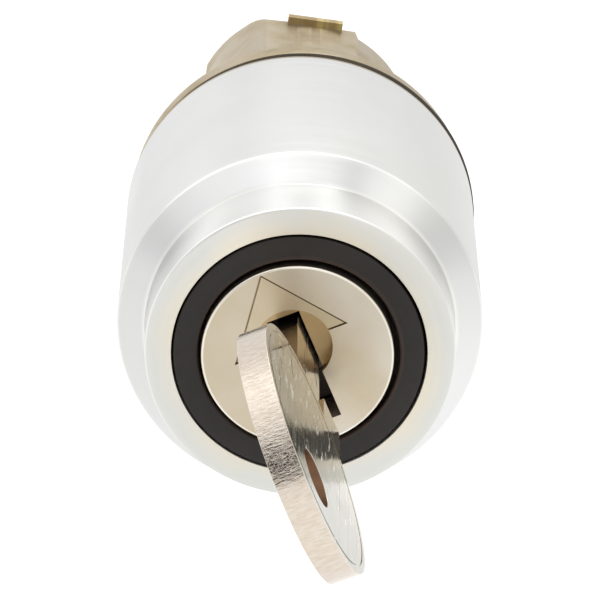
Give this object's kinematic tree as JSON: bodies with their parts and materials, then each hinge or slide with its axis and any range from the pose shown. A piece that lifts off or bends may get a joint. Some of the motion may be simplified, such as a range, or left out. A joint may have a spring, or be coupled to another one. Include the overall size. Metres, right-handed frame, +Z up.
{
  "type": "selector key switch",
  "caption": "Panel-mount key-operated selector head with a stepped round metal bezel, a black ring, an arrowed lock face, a round-bowed key and a yellow metal body behind.",
  "frame": {"origin": "on the lock's axis, in the plane where the panel gasket seats on the panel's front face", "axes": "-Y points out of the panel at the operator, +Y runs into the panel, +Z is up through the locating lug, +X is right as the operator sees it"},
  "size_m": [0.0304, 0.0845, 0.0304],
  "materials": {
    "polished_aluminium": "bright, finely turned",
    "black_plastic": "satin",
    "rubber": "matt",
    "yellow_chromate": "zinc casting, yellow chromate, satin",
    "brass": "machined",
    "steel": "machined",
    "spring_steel": "drawn wire",
    "nickel": "nickel plate, warm, satin bright",
    "key_nickel": "nickel plate, scratched",
    "white_plastic": "moulded",
    "red_plastic": "moulded"
  },
  "bodies": {
    "head": {"bezel": "polished_aluminium", "face_ring": "black_plastic", "bezel_gasket": "rubber", "panel_gasket": "rubber", "operator_body": "yellow_chromate", "lock_shell": "brass", "shell_set_screw": "steel", "detent_spring_left": "spring_steel", "detent_spring_right": "spring_steel", "plunger_spring_left": "spring_steel", "plunger_spring_right": "spring_steel", "rear_plate": "black_plastic", "rear_circlip": "steel"},
    "rotor": {"rotor_cap": "nickel", "rotor_seal": "rubber", "lock_plug": "brass", "detent_plate": "steel", "drive_cam": "white_plastic", "cam_screw": "steel", "wafer_spring_1": "spring_steel", "wafer_spring_2": "spring_steel", "wafer_spring_3": "spring_steel", "wafer_spring_4": "spring_steel", "wafer_spring_5": "spring_steel"},
    "key": {"key": "key_nickel"},
    "wafer_1": {"wafer_1": "brass"},
    "wafer_2": {"wafer_2": "brass"},
    "wafer_3": {"wafer_3": "brass"},
    "wafer_4": {"wafer_4": "brass"},
    "wafer_5": {"wafer_5": "brass"},
    "detent_ball_left": {"detent_ball_left": "steel"},
    "plunger_left": {"plunger_left": "red_plastic"},
    "detent_ball_right": {"detent_ball_right": "steel"},
    "plunger_right": {"plunger_right": "red_plastic"}
  },
  "joints": [
    {"name": "lock_turn", "type": "hinge", "parent": "head", "child": "rotor", "pos_m": [0, 0, 0], "axis": [0, 1, 0], "range_deg": [0, 60]},
    {"name": "key_withdraw", "type": "slide", "parent": "rotor", "child": "key", "axis": [0, -1, 0], "range_m": [0, 0.027]},
    {"name": "wafer_1_slide", "type": "slide", "parent": "rotor", "child": "wafer_1", "axis": [-0.5, 0, 0.866], "range_m": [0, 0.0007], "deforming": ["wafer_spring_1"]},
    {"name": "wafer_2_slide", "type": "slide", "parent": "rotor", "child": "wafer_2", "axis": [-0.5, 0, 0.866], "range_m": [0, 0.0007], "deforming": ["wafer_spring_2"]},
    {"name": "wafer_3_slide", "type": "slide", "parent": "rotor", "child": "wafer_3", "axis": [-0.5, 0, 0.866], "range_m": [0, 0.0007], "deforming": ["wafer_spring_3"]},
    {"name": "wafer_4_slide", "type": "slide", "parent": "rotor", "child": "wafer_4", "axis": [-0.5, 0, 0.866], "range_m": [0, 0.0007], "deforming": ["wafer_spring_4"]},
    {"name": "wafer_5_slide", "type": "slide", "parent": "rotor", "child": "wafer_5", "axis": [-0.5, 0, 0.866], "range_m": [0, 0.0007], "deforming": ["wafer_spring_5"]},
    {"name": "plunger_left_slide", "type": "slide", "parent": "head", "child": "plunger_left", "axis": [0, 1, 0], "range_m": [0, 0.003], "deforming": ["plunger_spring_left"]},
    {"name": "plunger_right_slide", "type": "slide", "parent": "head", "child": "plunger_right", "axis": [0, 1, 0], "range_m": [0, 0.003], "deforming": ["plunger_spring_right"]},
    {"name": "detent_ball_left_slide", "type": "slide", "parent": "head", "child": "detent_ball_left", "axis": [0, 1, 0], "range_m": [-0.0003, 0.0005], "stiffness_N_per_m": 150, "deforming": ["detent_spring_left"]},
    {"name": "detent_ball_right_slide", "type": "slide", "parent": "head", "child": "detent_ball_right", "axis": [0, 1, 0], "range_m": [-0.0003, 0.0005], "stiffness_N_per_m": 150, "deforming": ["detent_spring_right"]}
  ],
  "couplings": [
    {"joint": "wafer_1_slide", "follows": "key_withdraw", "ratio": 0.0257},
    {"joint": "wafer_2_slide", "follows": "key_withdraw", "ratio": 0.0257},
    {"joint": "wafer_3_slide", "follows": "key_withdraw", "ratio": 0.0257},
    {"joint": "wafer_4_slide", "follows": "key_withdraw", "ratio": 0.0257},
    {"joint": "wafer_5_slide", "follows": "key_withdraw", "ratio": 0.0257},
    {"joint": "plunger_left_slide", "follows": "lock_turn", "m_per_rad": 0.00286},
    {"joint": "plunger_right_slide", "follows": "lock_turn", "m_per_rad": 0.00286}
  ]
}
